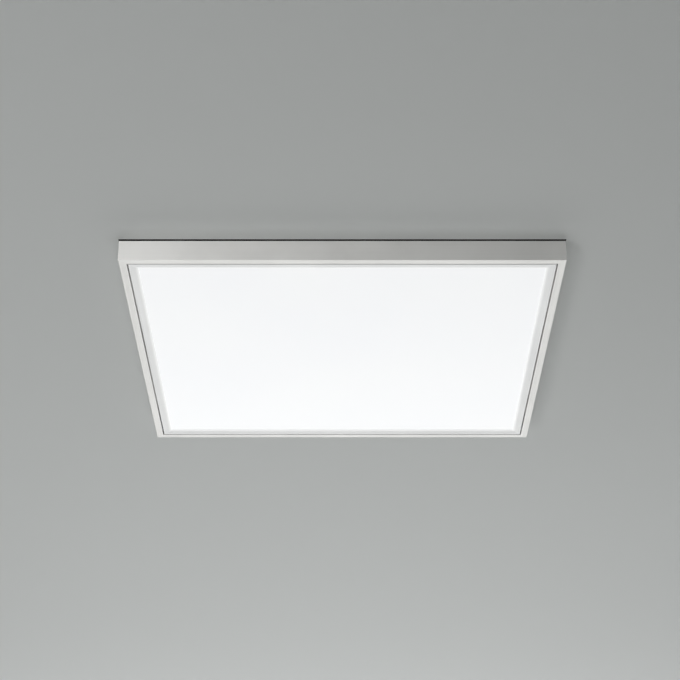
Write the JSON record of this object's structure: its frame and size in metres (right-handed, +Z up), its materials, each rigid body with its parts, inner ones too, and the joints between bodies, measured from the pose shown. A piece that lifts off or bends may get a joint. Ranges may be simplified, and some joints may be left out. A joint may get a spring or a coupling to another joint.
{
  "type": "flush mount ceiling light",
  "caption": "Square flush mount ceiling light: anodised surface frame with a shadow gap, edge-lit opal panel on hidden rear pivots with magnet catches, driver and terminals on a gear tray.",
  "frame": {"origin": "middle of the light in the plane of the ceiling, where the four ceiling screws pass the gussets", "axes": "+Z up into the ceiling, the light hangs below z = 0; +Y to the side with the pivots (rear); -Y is the front, where the magnets hold the panel"},
  "size_m": [0.62, 0.62, 0.0325],
  "materials": {
    "anodised_frame": "satin anodised extrusion",
    "anodised_panel_frame": "satin anodised extrusion",
    "zinc_steel": "zinc-plated sheet",
    "screw_steel": "zinc-plated, turned",
    "brass": "turned",
    "magnet_cup_steel": "nickel-plated",
    "magnet": "nickel-plated",
    "grommet_rubber": "moulded",
    "white_nylon": "moulded",
    "white_polycarbonate": "moulded, fine grain",
    "button_orange": "moulded",
    "button_green": "moulded",
    "back_plate_white": "white powder coat",
    "opal_diffuser": "opal, matt",
    "clear_guide": "clear, polished edges",
    "white_film": "matt film",
    "foam": "closed-cell foam sheet",
    "led_board": "white solder mask",
    "led_phosphor": "cast silicone",
    "black_inlet": "moulded"
  },
  "bodies": {
    "frame": {"frame_rail_front": "anodised_frame", "frame_rail_rear": "anodised_frame", "frame_rail_left": "anodised_frame", "frame_rail_right": "anodised_frame", "corner_key_front_left": "zinc_steel", "corner_key_front_right": "zinc_steel", "corner_key_rear_right": "zinc_steel", "corner_key_rear_left": "zinc_steel", "corner_key_screws": "screw_steel", "corner_gusset_front_left": "zinc_steel", "corner_gusset_front_right": "zinc_steel", "corner_gusset_rear_right": "zinc_steel", "corner_gusset_rear_left": "zinc_steel", "gusset_screws": "screw_steel", "pivot_bracket_left": "zinc_steel", "pivot_bracket_right": "zinc_steel", "catch_bracket_left": "zinc_steel", "catch_bracket_right": "zinc_steel", "bracket_screws": "screw_steel", "magnet_cups": "magnet_cup_steel", "magnets": "magnet", "gear_tray": "zinc_steel", "tray_screws": "screw_steel", "cable_grommet": "grommet_rubber", "cable_clamp": "white_nylon", "cable_clamp_screws": "screw_steel", "terminal_block": "white_nylon", "terminal_block_screws": "screw_steel", "earth_screw": "brass", "driver_case": "white_polycarbonate", "driver_lid": "white_polycarbonate", "driver_cover_supply": "white_polycarbonate", "driver_cover_output": "white_polycarbonate", "driver_cover_screws": "screw_steel", "driver_screws": "screw_steel"},
    "panel": {"panel_rail_front": "anodised_panel_frame", "panel_rail_rear": "anodised_panel_frame", "panel_rail_left": "anodised_panel_frame", "panel_rail_right": "anodised_panel_frame", "panel_corner_keys": "zinc_steel", "diffuser": "opal_diffuser", "light_guide": "clear_guide", "reflector_film": "white_film", "foam_pad": "foam", "led_board_front": "led_board", "led_board_rear": "led_board", "led_chips_front": "led_phosphor", "led_chips_rear": "led_phosphor", "back_plate": "back_plate_white", "back_plate_screws": "screw_steel", "inlet_socket": "black_inlet", "pivot_pin_left": "screw_steel", "pivot_pin_right": "screw_steel", "pivot_clips": "screw_steel", "catch_plate_left": "zinc_steel", "catch_plate_right": "zinc_steel"},
    "button_line": {"release_button_line": "button_orange"},
    "button_neutral": {"release_button_neutral": "button_orange"},
    "button_earth": {"release_button_earth": "button_green"}
  },
  "joints": [
    {"name": "panel_hinge", "type": "hinge", "parent": "frame", "child": "panel", "pos_m": [0, 0.2835, -0.0265], "axis": [1, 0, 0], "range_deg": [0, 90]},
    {"name": "button_line_press", "type": "slide", "parent": "frame", "child": "button_line", "axis": [0, 0, 1], "range_m": [0, 0.0015], "stiffness_N_per_m": 400, "springref_m": -0.0005},
    {"name": "button_neutral_press", "type": "slide", "parent": "frame", "child": "button_neutral", "axis": [0, 0, 1], "range_m": [0, 0.0015], "stiffness_N_per_m": 400, "springref_m": -0.0005},
    {"name": "button_earth_press", "type": "slide", "parent": "frame", "child": "button_earth", "axis": [0, 0, 1], "range_m": [0, 0.0015], "stiffness_N_per_m": 400, "springref_m": -0.0005}
  ]
}
